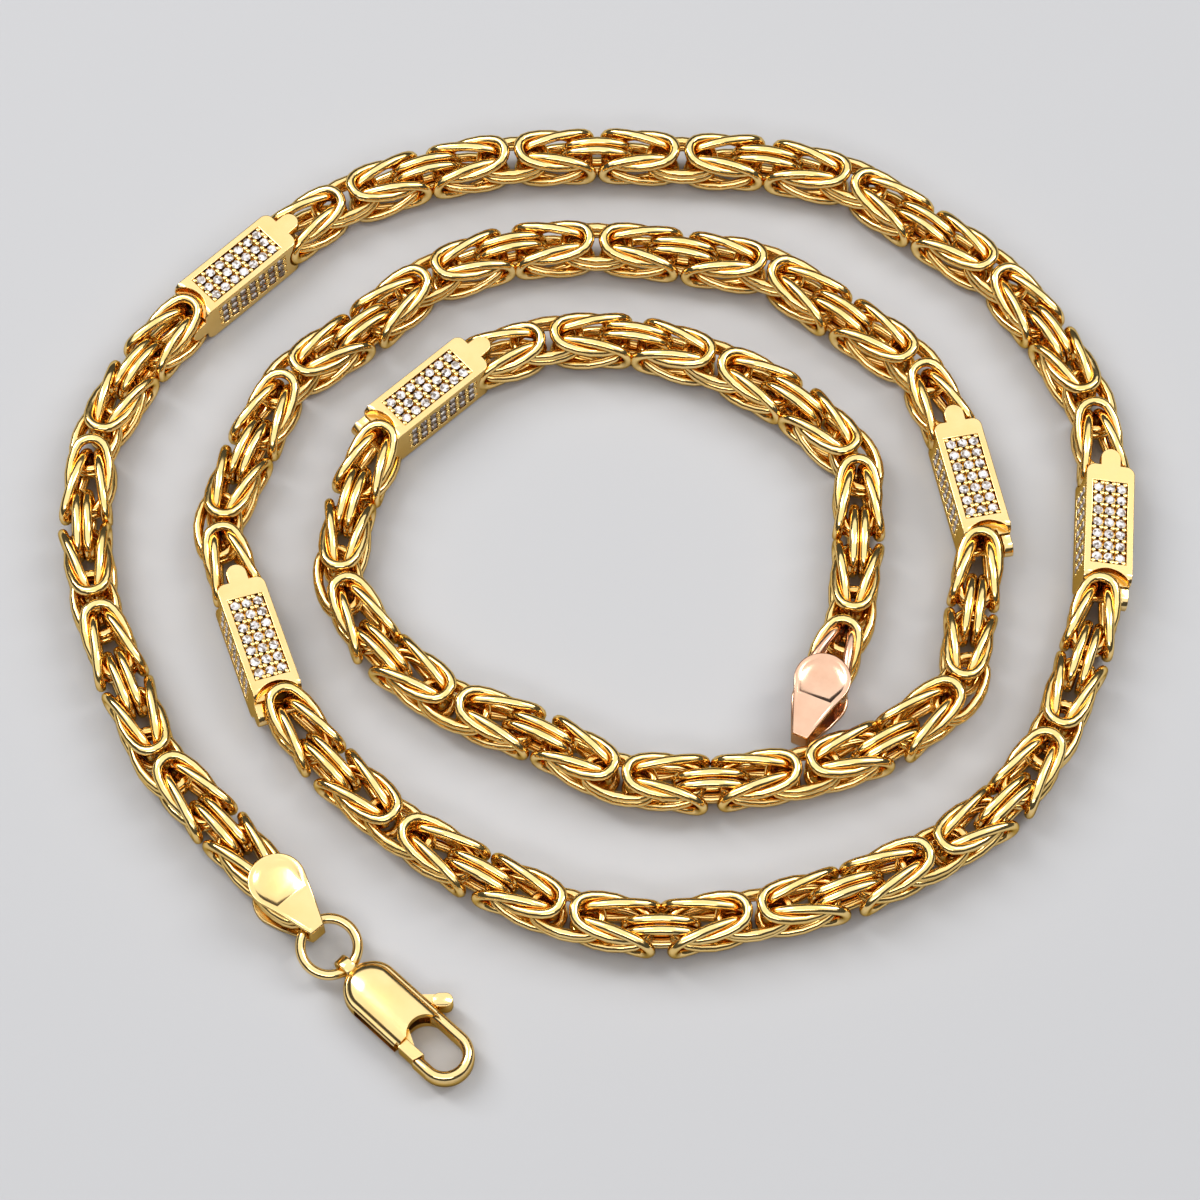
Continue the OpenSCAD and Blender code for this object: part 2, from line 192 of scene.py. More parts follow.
polish_and_shade, given, result = new_group(
    "polish_and_shade",
    [("Patch Scale", 420.0), ("Grain Scale", 5200.0), ("Smooth", 0.10), ("Dull", 0.2)],
    ["Roughness", "Tint", "Height", "Nook Shade"],
)
spot = polish_and_shade.nodes.new("ShaderNodeTexCoord").outputs["Object"]
patches = noise(polish_and_shade, spot, given.outputs["Patch Scale"], 3)
grain = noise(polish_and_shade, spot, given.outputs["Grain Scale"], 2)
gloss = remap(polish_and_shade, patches, 0.35, 0.65, given.outputs["Smooth"], given.outputs["Dull"])
polish_and_shade.links.new(gloss, result.inputs["Roughness"])
polish_and_shade.links.new(remap(polish_and_shade, patches, 0.3, 0.7), result.inputs["Tint"])
waver = polish_and_shade.nodes.new("ShaderNodeMath")
waver.operation = "MULTIPLY_ADD"
waver.inputs[1].default_value = GRAIN_SHARE
polish_and_shade.links.new(grain, waver.inputs[0])
polish_and_shade.links.new(patches, waver.inputs[2])
polish_and_shade.links.new(waver.outputs[0], result.inputs["Height"])
# painted shade: the AO node finds the nooks, and the metals paint them darker and amber
near = polish_and_shade.nodes.new("ShaderNodeAmbientOcclusion")
near.samples = 4
near.inputs["Distance"].default_value = NOOK_REACH * MM
polish_and_shade.links.new(remap(polish_and_shade, near.outputs["AO"], 0.75, 0.15), result.inputs["Nook Shade"])
print("group", polish_and_shade.name, "puts out", [s.name for s in result.inputs if s.name])

# %% [markdown]
# ## The metals
# Yellow gold plating is almost white where it mirrors a lamp, yellow where it mirrors the room and
# deep orange where wires mirror each other, because each bounce takes away more of the blue. So
# the base colour is a bright yellow and metallic is 1. Only a few bounces are traced, so the nooks
# get painted shade: their mask mixes the amber of many bounces into the base colour. A warm
# Specular Tint keeps the edges of round wires from going white. `gold` is the buffed plating of
# the wires, `cast_gold` the slightly softer bars, caps and clasp, `set_gold` the beads of the set
# fields, and `rose_gold` the rosier cap at the free end.

# %% Metals
EDGE_TINT = (0.62, 0.49, 0.22, 1)
DENT_STRENGTH, DENT_LIFT = 0.12, 0.03


def mixed(tree, factor, first, second):
    """first to second by a mask. first may be a colour or a socket, second is a colour."""
    mix = tree.nodes.new("ShaderNodeMix")
    mix.data_type = "RGBA"
    tree.links.new(factor, mix.inputs["Factor"])
    if isinstance(first, tuple):
        mix.inputs["A"].default_value = (*first, 1)
    else:
        tree.links.new(first, mix.inputs["A"])
    mix.inputs["B"].default_value = (*second, 1)
    return mix.outputs["Result"]


def metal(name, bright, deep, nook_shade, smooth, dull, patch):
    """A polished metal: two tones in patches, a painted shade in the nooks, gloss from..to."""
    material = bpy.data.materials.new(name)
    material.use_nodes = True
    tree = material.node_tree
    shader = tree.nodes["Principled BSDF"]
    shader.inputs["Metallic"].default_value = 1
    polish_and_shade_node = tree.nodes.new("ShaderNodeGroup")
    polish_and_shade_node.node_tree = polish_and_shade
    polish_and_shade_node.inputs["Patch Scale"].default_value = patch
    polish_and_shade_node.inputs["Smooth"].default_value = smooth
    polish_and_shade_node.inputs["Dull"].default_value = dull
    tone = mixed(tree, polish_and_shade_node.outputs["Tint"], bright, deep)
    # painted shade: the nook mask mixes the darker nook tone into the base colour
    tone = mixed(tree, polish_and_shade_node.outputs["Nook Shade"], tone, nook_shade)
    tree.links.new(tone, shader.inputs["Base Color"])
    shader.inputs["Specular Tint"].default_value = EDGE_TINT
    tree.links.new(polish_and_shade_node.outputs["Roughness"], shader.inputs["Roughness"])
    dent = tree.nodes.new("ShaderNodeBump")
    dent.inputs["Strength"].default_value = DENT_STRENGTH
    dent.inputs["Distance"].default_value = DENT_LIFT * MM
    tree.links.new(polish_and_shade_node.outputs["Height"], dent.inputs["Height"])
    tree.links.new(dent.outputs["Normal"], shader.inputs["Normal"])
    return material


METALS = [  # name, bright tone, deep tone, painted shade tone in the nooks, smoothest, dullest, patch scale
    ("gold", (1.0, 0.76, 0.37), (0.97, 0.69, 0.275), (0.76, 0.36, 0.05), 0.11, 0.19, 420),
    ("cast_gold", (0.97, 0.735, 0.37), (0.91, 0.65, 0.29), (0.84, 0.54, 0.17), 0.12, 0.22, 300),
    ("set_gold", (1.0, 0.78, 0.38), (0.96, 0.68, 0.27), (0.90, 0.60, 0.20), 0.10, 0.22, 900),
    ("rose_gold", (0.86, 0.59, 0.43), (0.74, 0.46, 0.32), (0.62, 0.30, 0.16), 0.14, 0.26, 350),
]
gold, cast_gold, set_gold, rose_gold = [metal(*row) for row in METALS]
print("metals:", [row[0] for row in METALS])

# %% [markdown]
# ## The stones
# The stones are colourless and cut round. Seen from above, each sends back white, a little grey
# and some dark, from one facet to the next. Pure glass would only show the gold beneath, so these
# flashes are painted reflections: the base colour changes from cell to cell, pale to dark, under a
# mirror-like surface with a high index, and a part of the light goes through. Stones in the fields
# that face aside send no light from above back, so a normal that doesn't point up takes painted
# shade, the dark warm tone of what is round them.

# %% Stone material
# painted shade: the dark warm tone that stones facing aside take
PAINTED_SIDE_SHADE = (0.16, 0.09, 0.03)
CELL_SCALE = 4200
# painted reflections of the facets, from the darkest to white
DARKEST_PAINTED_FACET = (0.12, 0.09, 0.07, 1)
PAINTED_FACET_TONES = [  # painted reflections: up to this share of the cells, colour; the darkest is at 0 and white at 1
    (0.2, (0.34, 0.26, 0.20)),
    (0.38, (0.66, 0.60, 0.57)),
    (0.55, (0.94, 0.91, 0.92)),
]


def stone_material():
    """Clear cut stone: a painted reflection for each Voronoi cell, painted shade where it faces
    aside.
    """
    material = bpy.data.materials.new("cut_stone")
    material.use_nodes = True
    tree = material.node_tree
    shader = tree.nodes["Principled BSDF"]
    shader.inputs["Roughness"].default_value = 0.04
    shader.inputs["IOR"].default_value = 2.1
    shader.inputs["Transmission Weight"].default_value = 0.15
    place = tree.nodes.new("ShaderNodeTexCoord").outputs["Object"]
    # painted reflection: each Voronoi cell picks a tone from dark to white
    painted_facet_cells = tree.nodes.new("ShaderNodeTexVoronoi")
    painted_facet_cells.inputs["Scale"].default_value = CELL_SCALE
    tree.links.new(place, painted_facet_cells.inputs["Vector"])
    pick = tree.nodes.new("ShaderNodeSeparateColor")
    tree.links.new(painted_facet_cells.outputs["Color"], pick.inputs["Color"])
    ramp = tree.nodes.new("ShaderNodeValToRGB")
    ramp.color_ramp.interpolation = "LINEAR"
    ramp.color_ramp.elements[0].color = DARKEST_PAINTED_FACET
    ramp.color_ramp.elements[1].color = (1.0, 1.0, 1.0, 1)
    for share, tone in PAINTED_FACET_TONES:
        ramp.color_ramp.elements.new(share).color = (*tone, 1)
    tree.links.new(pick.outputs["Red"], ramp.inputs["Fac"])
    # painted shade: faces whose normal doesn't point up take the dark side tone
    normal = tree.nodes.new("ShaderNodeNewGeometry").outputs["Normal"]
    facing = tree.nodes.new("ShaderNodeSeparateXYZ")
    tree.links.new(normal, facing.inputs["Vector"])
    side_shade_mask = remap(tree, facing.outputs["Z"], 0.55, 0.25)
    shade = mixed(tree, side_shade_mask, ramp.outputs["Color"], PAINTED_SIDE_SHADE)
    tree.links.new(shade, shader.inputs["Base Color"])
    return material


cut_stone = stone_material()
print("stone material:", cut_stone.name)

# %% [markdown]
# ## Helpers for work by hand
# An operator acts on what is selected, so these helpers first deselect everything. `edit` opens
# edit mode with only those faces or points selected that pass a test of their place and normal,
# the way a hand would box-select them. `shift` moves them by millimetres and `leave` closes edit
# mode again.

# %% Selection helpers
def activate(*pieces):
    """Selects only these pieces and makes the first one active."""
    if bpy.context.object and bpy.context.object.mode != "OBJECT":
        bpy.ops.object.mode_set(mode="OBJECT")
    bpy.ops.object.select_all(action="DESELECT")
    for piece in pieces:
        piece.select_set(True)
    bpy.context.view_layer.objects.active = pieces[0]


def edit(piece, test, kind="FACE"):
    """Edit mode on the piece with the chosen kind selected where test(place, normal) is true."""
    if piece.mode != "EDIT":
        activate(piece)
        bpy.ops.object.mode_set(mode="EDIT")
    bpy.ops.mesh.select_mode(type=kind)
    bpy.ops.mesh.select_all(action="DESELECT")
    mesh = bmesh.from_edit_mesh(piece.data)
    found = 0
    for part in mesh.faces if kind == "FACE" else mesh.verts:
        place = part.calc_center_median() if kind == "FACE" else part.co
        if test(place, part.normal):
            part.select = True
            found += 1
    mesh.select_flush_mode()
    bmesh.update_edit_mesh(piece.data)
    return found


def shift(x=0.0, y=0.0, z=0.0):
    """Moves what is selected by millimetres."""
    bpy.ops.transform.translate(value=(x * MM, y * MM, z * MM))


def leave():
    bpy.ops.object.mode_set(mode="OBJECT")


print("edit helpers:", [f.__name__ for f in (activate, edit, shift, leave)])

# %% [markdown]
# ## Helpers for finished pieces
# `settle` puts a finished piece where it belongs and applies its place, so that its object sits at
# the origin, unturned and unscaled. Each copy gets its own mesh. Smooth shading bends what a large
# flat face mirrors towards its rounded edges, so `even_shade` gives the large faces back their flat
# shading. `dress` gives a piece its material and says which body it moves with.

# %% Finishing helpers
def settle(piece, matrix):
    """Puts a piece in its place and applies it, so that its object sits at the origin."""
    activate(piece)
    piece.matrix_world = matrix
    bpy.ops.object.transform_apply(location=True, rotation=True, scale=True)
    return piece


def copy_of(piece, name):
    """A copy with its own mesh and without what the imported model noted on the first."""
    twin = piece.copy()
    twin.data = piece.data.copy()
    for key in list(twin.keys()):
        del twin[key]
    twin.parent = None
    twin.name = twin.data.name = name
    twin.hide_render = twin.hide_viewport = False
    bpy.context.scene.collection.objects.link(twin)
    return twin


def join(pieces, name):
    activate(*pieces)
    bpy.ops.object.join()
    joined = bpy.context.object
    joined.name = joined.data.name = name
    return joined


def discard(*pieces):
    for piece in pieces:
        bpy.data.objects.remove(piece)


def even_shade(piece, largest):
    """Smooth shading, but flat on every face over `largest` mm2, so that it mirrors as a plane."""
    activate(piece)
    bpy.ops.object.shade_smooth_by_angle(angle=math.radians(50))
    edit(piece, lambda p, n: False)
    for face in bmesh.from_edit_mesh(piece.data).faces:
        face.select = face.calc_area() > largest * MM * MM
    bpy.ops.mesh.faces_shade_flat()
    leave()
    return piece


def dress(piece, material, slot, body="necklace"):
    """Material and body of a finished piece. The slot argument is not used."""
    piece.data.materials.clear()
    piece.data.materials.append(material)
    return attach(piece, body)


def faces_of(piece):
    return len(piece.data.polygons)


print("finishing helpers:", [f.__name__ for f in (settle, copy_of, join, even_shade, dress)])

# %% [markdown]
# ## One ring of the chain
# Every ring of a Byzantine chain is an oval of 0.95 mm wire, here 7 mm long and 4.6 mm wide.
# It could be a curve with a bevel, but a torus pulled apart in the middle is closed from the start
# and has few faces. The torus has twelve cuts round and six round its wire. Its right half moves
# right, its left half left, and the two cuts in the middle bulge out a little, as a bent wire
# does. A Subdivision modifier rounds it later, and it draws the wire in, so the cage is thicker.

# %% Ring
CAGE_WIRE_R = 0.546  # all in mm
END_R = 1.68
HALF_PULL = 1.448
BULGE = 0.3
TINY = 1e-6  # in metres: nearer than this counts as in the middle

bpy.ops.object.select_all(action="DESELECT")
bpy.ops.mesh.primitive_torus_add(
    major_segments=12, minor_segments=6,
    major_radius=END_R * MM, minor_radius=CAGE_WIRE_R * MM,
)
ring = bpy.context.object
ring.name = "ring"
edit(ring, lambda p, n: p.x > TINY, "VERT")
shift(x=HALF_PULL)
edit(ring, lambda p, n: p.x < -TINY, "VERT")
shift(x=-HALF_PULL)
edit(ring, lambda p, n: abs(p.x) < TINY and p.y > 0, "VERT")
shift(y=BULGE)
edit(ring, lambda p, n: abs(p.x) < TINY and p.y < 0, "VERT")
shift(y=-BULGE)
leave()
bpy.ops.object.shade_smooth()
print("ring has", faces_of(ring), "faces and is", [round(d / MM, 2) for d in ring.dimensions], "mm")

# %% [markdown]
# ## The route of the chain
# The weave repeats as a knot of four rings, and at each joint between two knots two more rings
# connect them. The route gives every joint, seen from above, in six stretches between the bars.
# At every second joint the connecting rings lie flat (a flat joint), and at the others they stand
# on edge, because each knot turns the weave by a quarter.

# %% Route
AXIS_H = 2.5
ROUTES = [  # a row of joints (x, y) in mm for each stretch
    [(-27, -29.5), (-32.5, -23.5), (-38, -17.5), (-41.5, -10), (-44.5, -2.5), (-46, 5.5),
     (-45.5, 14), (-42, 21.5), (-36.7, 28.1)],
    [(-29.9, 34.7), (-23.5, 39.5), (-16, 42.5), (-8, 44), (0, 44.5), (8, 44), (16, 43.5),
     (24, 41.5), (30.5, 36.5), (37, 31.5), (41.5, 25), (45, 18), (45.9, 9.6)],
    [(45.1, 0.1), (43, -7.5), (40, -15), (35.5, -21.5), (29, -26), (21.5, -29.5), (13.5, -31.5),
     (5.5, -33), (-2.5, -31.5), (-10, -28), (-17, -23.5), (-23.3, -17.7), (-28.35, -10.9)],
    [(-31.6, -1.95), (-34, 5.3), (-31.5, 13), (-28, 20.5), (-21.5, 25.5), (-15.5, 31), (-8, 34),
     (0, 34.5), (8, 33.5), (16, 32), (22.5, 27), (29.2, 21.8), (32.6, 14.1)],
    [(34.6, 4.8), (33.4, -2.9), (32, -10.5), (25.5, -15.8), (18, -18.4), (10, -19.6), (2, -19),
     (-5, -15), (-12.5, -12), (-19, -7), (-23, 0), (-22, 8), (-18.9, 15.3)],
    [(-11.9, 21.7), (-4.5, 24.5), (3.5, 24.5), (11, 22), (18, 18), (23.5, 12), (23.5, 4),
     (22.5, -4), (19.5, -11.1)],
]
stations = [[Vector((x, y, AXIS_H)) for x, y in route] for route in ROUTES]
steps = [(b - a).length for route in stations for a, b in zip(route, route[1:])]
print("knots:", len(steps), "with steps of", round(min(steps), 2), "to", round(max(steps), 2), "mm")

# %% [markdown]
# ## Weaving the knots
# A knot's first pair of rings lies flat, one above and one below, with the round ends spread wide
# over the flat joint and the far ends close together. Its second pair stands on edge, left and
# right, spread wide at the other joint. That spread end, folded back over its neighbours, is the
# fishtail that makes the weave. The rings of a knot are pulled 0.6 mm longer, so that their far
# ends lie close inside the next joint's round ends. Where a stretch ends at a bar or a cap, the
# last pair is pulled less and ends round the pin there, and the pair under the clasp's cap lies
# flatter. Each ring gets a small seeded turn and shift, because a real chain never lies quite even.

# %% Placing the rings
RING_MIDDLE = 3.9  # from a ring's own joint to its middle, in mm
SPREAD, CAPPED_SPREAD = 1.21, 0.98
TILT, CAPPED_TILT = math.radians(12.7), math.radians(8.5)
PAIR_GAP = 0.49
PULL, HOOKED_PULL = 0.6, 0.3
RING_LEN = 6.05
TURN_SPREAD, SHIFT_SPREAD = 0.012, 0.03  # of the small seeded turns and shifts, in radians and mm
UP = Vector((0, 0, 1))
shake = random.Random(7)


def ring_matrix(middle, along, width, stretch=0.0):
    """Where a ring goes, with its length along one direction and its width along another."""
    wobble = [shake.gauss(0, TURN_SPREAD) for _ in range(3)]
    drift = Vector([shake.gauss(0, SHIFT_SPREAD) for _ in range(3)])
    turned = Matrix((along, width, along.cross(width))).transposed()
    turned = turned @ Matrix.Rotation(wobble[0], 3, "X") @ Matrix.Rotation(wobble[1], 3, "Y")
    turned = turned @ Matrix.Rotation(wobble[2], 3, "Z")
    longer = Matrix.Diagonal((1 + stretch / RING_LEN, 1, 1))
    return Matrix.Translation((middle + drift) * MM) @ (turned @ longer).to_4x4()


def knot(flat_joint, edge_joint, flat_hooked=False, edge_hooked=False, capped=False):
    """Four rings from a flat joint to a joint on edge. A hooked pair ends round a pin."""
    ahead = (edge_joint - flat_joint).normalized()
    left = UP.cross(ahead)
    spread, tilt = (CAPPED_SPREAD, CAPPED_TILT) if capped else (SPREAD, TILT)
    placed = []
    for side in (1, -1):
        middle = flat_joint + ahead * RING_MIDDLE + UP * side * spread
        along = ahead * math.cos(tilt) - UP * side * math.sin(tilt)
        placed.append(ring_matrix(middle, along, left, HOOKED_PULL if flat_hooked else PULL))
        middle = edge_joint - ahead * RING_MIDDLE + left * side * SPREAD
        along = ahead * math.cos(TILT) + left * side * math.sin(TILT)
        placed.append(ring_matrix(middle, along, UP, HOOKED_PULL if edge_hooked else PULL))
    return placed


def connectors(joint, ahead, flat):
    """Two rings side by side across a joint, flat on each other or on edge."""
    left = UP.cross(ahead)
    apart, width = (UP, left) if flat else (left, UP)
    return [ring_matrix(joint + apart * side * PAIR_GAP, ahead, width) for side in (1, -1)]


def weave(stretch, route):
    """All ring places of one stretch. Odd stretches start at a flat joint, even ones on edge."""
    placed = []
    last = len(route) - 1
    for i in range(last):
        flat_here = (i + stretch) % 2 == 1
        flat, edge = (route[i], route[i + 1]) if flat_here else (route[i + 1], route[i])
        ends = (0, last) if stretch > 1 else (last,)
        flat_hooked = (i if not flat_here else i + 1) in ends
        edge_hooked = (i if flat_here else i + 1) in ends
        placed += knot(flat, edge, flat_hooked, edge_hooked, capped=stretch == 1 and i == 0)
    for i in range(0 if stretch == 1 else 1, last):
        before = (route[i] - route[max(i - 1, 0)]).normalized() if i else Vector((0, 0, 0))
        ahead = (before + (route[i + 1] - route[i]).normalized()).normalized()
        placed += connectors(route[i], ahead, (i + stretch) % 2 == 1)
    return placed


woven = [weave(k, route) for k, route in enumerate(stations, 1)]
print("rings in each stretch:", [len(w) for w in woven], "in all", sum(len(w) for w in woven))
LAST_KNOT = 4 * (len(stations[-1]) - 2)  # a knot's four places: flat, on edge, flat, on edge
rosy_pair = [woven[-1].pop(LAST_KNOT + 3), woven[-1].pop(LAST_KNOT + 1)]

# %% [markdown]
# ## Six stretches of real rings
# The one ring is copied to every place, each copy with its own mesh, and the copies of a stretch
# are joined into one piece that stands for the stretch's plain tube. The Subdivision modifier
# stays live on the piece, at the same level in the viewport and in the render. The last pair on
# edge, next to the free end's cap, has the cap's rosy colour, so it is a piece of its own.

# %% Chain
ROUNDING = 1


def rings_at(places, name):
    """Copies of the ring at all these places, joined and rounded."""
    copies = []
    for matrix in places:
        twin = copy_of(ring, name)
        twin.matrix_world = matrix
        copies.append(twin)
    activate(*copies)
    bpy.ops.object.transform_apply(location=True, rotation=True, scale=True)
    links = join(copies, name)
    soft = links.modifiers.new("round wire", "SUBSURF")
    soft.levels = soft.render_levels = ROUNDING
    return links


chains = []
for k, places in enumerate(woven, 1):
    chain = dress(rings_at(places, f"chain_links_{k}"), gold, "gold")
    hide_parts(f"chain_{k}")
    chains.append(chain)
dress(rings_at(rosy_pair, "rosy_links"), rose_gold, "rose_gold")
discard(ring)
print("faces before rounding:", [faces_of(c) for c in chains])

# %% [markdown]
# ## The bars
# A bar is cast, with a raised rim round four sunk fields, a scoop at each end that a link nests
# in, and two tabs with a pin at each end that a pair of links hooks on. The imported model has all
# of these forms with sharp edges, in loose triangles. A copy is merged, its flat faces are
# dissolved back into single ones, and a Bevel modifier rounds every edge, because a cast and
# polished edge always catches a line of light.

# %% Bars
EDGE_R = 0.13
FLAT_FROM = 1.3  # faces over this many mm2 keep flat shading


def round_edges(piece, width, segments, angle):
    """A Bevel modifier on every edge sharper than the angle, applied at once."""
    edge = piece.modifiers.new("rounded edges", "BEVEL")
    edge.width = width * MM
    edge.segments = segments
    edge.limit_method = "ANGLE"
    edge.angle_limit = math.radians(angle)
    bpy.ops.object.modifier_apply(modifier=edge.name)


def smooth_copy(node, name):
    """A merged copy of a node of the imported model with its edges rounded."""
    piece = copy_of(nodes[node], name)
    activate(piece)
    bpy.ops.object.mode_set(mode="EDIT")
    bpy.ops.mesh.select_all(action="SELECT")
    bpy.ops.mesh.customdata_custom_splitnormals_clear()
    bpy.ops.mesh.remove_doubles(threshold=0.001 * MM)
    bpy.ops.mesh.dissolve_limited(angle_limit=math.radians(1.5))
    leave()
    while piece.material_slots:
        bpy.ops.object.material_slot_remove()
    round_edges(piece, EDGE_R, 3, 35)
    even_shade(piece, FLAT_FROM)
    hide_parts(node)
    return piece


for k in range(1, 6):
    shell = smooth_copy(f"bar_{k}", f"bar_shell_{k}")
    dress(shell, cast_gold, "gold")
print("faces of a bar:", faces_of(shell))

# %% [markdown]
# ## Where a bar's stones and beads sit
# Everything on a bar is placed in the bar's own frame, with x from its tab end to its scoop end,
# and then moved to the bar by one matrix. The two side faces have the same field as the top and
# bottom, mirrored end for end and turned by a quarter.

# %% Bar frames
BAR_ENDS = [  # joint at the tab end, joint at the scoop end, roll in degrees
    (stations[1][0], stations[0][-1], 0),
    (stations[1][-1], stations[2][0], -7),
    (stations[3][0], stations[2][-1], -8),
    (stations[3][-1], stations[4][0], -3),
    (stations[5][0], stations[4][-1], 0),
]
BAR_W = 4.4
FIELD_DEPTH = 0.45


def bar_matrix(tab, scoop, roll):
    """The place of a bar that runs from its tab end to its scoop end, rolled about its length."""
    run = scoop - tab
    turn = Matrix.Rotation(math.atan2(run.y, run.x), 4, "Z")
    rolled = Matrix.Rotation(math.radians(roll), 4, "X")
    return Matrix.Translation((tab + run / 2) * MM) @ turn @ rolled


bar_places = [bar_matrix(*ends) for ends in BAR_ENDS]
TOP, BOTTOM, RIGHT, LEFT = ALL_SIDES = range(4)  # as seen along +x
FIELD_TURN = [Matrix.Rotation(math.radians(a), 4, "X") for a in (0, 180, 90, -90)]
STONE_STEP = 1.15
FIRST_STONE = -3.475
STONE_X = [FIRST_STONE + STONE_STEP * a for a in range(7)]
STONE_Y = [-1.05, 0, 1.05]
print("bars lie at", [[round(c / MM, 1) for c in m.translation] for m in bar_places])

# %% [markdown]
# ## Beads that hold the stones
# In pavé work a graver raises little beads of metal between the stones and pushes them over each
# edge. One bead is a short eight-sided post with its top edge bevelled to a dome. Four stand round
# every stone, and stones that follow each other along the bar share two of them.

# %% Beads
BEAD_R, BEAD_TOP, BEAD_ROUND = 0.25, 0.48, 0.14
BEAD_ASIDE = 0.33
BEAD_LINES = [-3.93] + [-2.9 + STONE_STEP * a for a in range(6)] + [3.88]

bpy.ops.object.select_all(action="DESELECT")
bpy.ops.mesh.primitive_cylinder_add(vertices=8, radius=BEAD_R * MM, depth=BEAD_TOP * MM)
bead = bpy.context.object
edit(bead, lambda p, n: n.z > 0.9)
bpy.ops.mesh.bevel(offset=BEAD_ROUND * MM, segments=3)
leave()
bpy.ops.object.shade_smooth()
print("bead has", faces_of(bead), "faces")


def spread_over_fields(model, spots, height, sides, name):
    """Copies of a model over the chosen faces of a bar, in the bar's own frame."""
    copies = []
    for side in sides:
        for x, y in spots:
            twin = copy_of(model, name)
            spot = Vector((-x if side in (LEFT, RIGHT) else x, y, height)) * MM
            twin.matrix_world = FIELD_TURN[side] @ Matrix.Translation(spot)
            copies.append(twin)
    activate(*copies)
    bpy.ops.object.transform_apply(location=True, rotation=True, scale=True)
    return join(copies, name)


bead_spots = [(x, y + d) for x in BEAD_LINES for y in STONE_Y for d in (-BEAD_ASIDE, BEAD_ASIDE)]
bead_height = BAR_W / 2 - FIELD_DEPTH + BEAD_TOP / 2
bead_set = spread_over_fields(bead, bead_spots, bead_height, ALL_SIDES, "bead_set")
for k, matrix in enumerate(bar_places, 1):
    beads = settle(copy_of(bead_set, f"bar_beads_{k}"), matrix)
    dress(beads, set_gold, "gold")
discard(bead, bead_set)
print("beads on a bar:", len(bead_spots) * len(ALL_SIDES))

# %% [markdown]
# ## Cut stones
# Each stone is a round brilliant in its plainest form: a table, eight facets down to the girdle
# and eight below it. A cone with eight sides gives the lower part, and its top face is extruded
# up and scaled in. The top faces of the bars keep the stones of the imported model. The other three
# faces of each bar get copies of this one.

# %% Stones
GIRDLE_R, CROWN_H, PAVILION_H, TABLE_SHARE = 0.45, 0.12, 0.3, 0.6

bpy.ops.object.select_all(action="DESELECT")
bpy.ops.mesh.primitive_cone_add(
    vertices=8, radius1=0, radius2=GIRDLE_R * MM, depth=PAVILION_H * MM,
    location=(0, 0, -PAVILION_H / 2 * MM),
)
stone = bpy.context.object
bpy.ops.object.transform_apply(location=True, rotation=True, scale=True)
edit(stone, lambda p, n: n.z > 0.9)
bpy.ops.mesh.extrude_region_move(TRANSFORM_OT_translate={"value": (0, 0, CROWN_H * MM)})
bpy.ops.transform.resize(
    value=(TABLE_SHARE, TABLE_SHARE, 1), center_override=(0, 0, CROWN_H * MM))
leave()
bpy.ops.object.shade_flat()
print("stone has", faces_of(stone), "facets")

stone_spots = [(x, y) for x in STONE_X for y in STONE_Y]
stone_height = BAR_W / 2 - CROWN_H
stone_set = spread_over_fields(
    stone, stone_spots, stone_height, (BOTTOM, RIGHT, LEFT), "stone_set")
for k, matrix in enumerate(bar_places, 1):
    gems = settle(copy_of(stone_set, f"bar_side_stones_{k}"), matrix)
    dress(gems, cut_stone, "stone")
    on_top = nodes[f"stones_{k}"]
    on_top.data.materials.clear()
    on_top.data.materials.append(cut_stone)
discard(stone, stone_set)
print("stones on a bar:", len(stone_spots) * len(ALL_SIDES))

# %% [markdown]
# ## Helpers for solid forms
# The clasp is built the way a caster carves wax: from plain ovals and blocks, joined and cut by
# Boolean modifiers that are applied at once, and rounded by a Bevel. `oval` is a cylinder whose
# right half has moved away, so that it becomes a long slot shape. `block` is a box between pairs of
# coordinates, `combine` cuts or joins, `soften` rounds the edges, and `set_in_place` names a piece,
# moves it to its place and dresses it.

# %% Solid helpers
def oval(x1, x2, radius, low, high, y=0.0, sides=48):
    """A flat oval block: a cylinder whose right half has moved away along x."""
    bpy.ops.object.select_all(action="DESELECT")
    bpy.ops.mesh.primitive_cylinder_add(
        vertices=sides, radius=radius * MM, depth=(high - low) * MM,
        location=(x1 * MM, y * MM, (low + high) / 2 * MM), rotation=(0, 0, math.pi / sides),
    )
    piece = bpy.context.object
    bpy.ops.object.transform_apply(location=True, rotation=True, scale=True)
    edit(piece, lambda p, n: p.x > x1 * MM, "VERT")
    shift(x=x2 - x1)
    leave()
    return piece


def block(x, y, z):
    """A block from pairs of coordinates, to cut with or to start from."""
    bpy.ops.object.select_all(action="DESELECT")
    bpy.ops.mesh.primitive_cube_add(size=1, location=[sum(c) / 2 * MM for c in (x, y, z)])
    piece = bpy.context.object
    piece.scale = [(c[1] - c[0]) * MM for c in (x, y, z)]
    bpy.ops.object.transform_apply(location=True, rotation=True, scale=True)
    return piece


def combine(piece, tool, how="DIFFERENCE"):
    """Cuts the tool away from the piece, or joins the two by UNION or INTERSECT."""
    activate(piece)
    boolean = piece.modifiers.new("combine", "BOOLEAN")
    boolean.operation = how
    boolean.object = tool
    boolean.solver = "EXACT"
    bpy.ops.object.modifier_apply(modifier=boolean.name)
    discard(tool)
    return piece


def soften(piece, width, segments, angle, largest=FLAT_FROM):
    """Rounded edges, with the faces over `largest` mm2 kept flat."""
    activate(piece)
    round_edges(piece, width, segments, angle)
    return even_shade(piece, largest)


def set_in_place(piece, name, place, material=cast_gold, body="necklace"):
    """A piece of the clasp or a cap, named, in its place and dressed in its material."""
    settle(piece, place)
    piece.name = piece.data.name = name
    return dress(piece, material, "rose_gold" if material is rose_gold else "gold", body)


print("solid helpers:", [f.__name__ for f in (oval, block, combine, soften, set_in_place)])

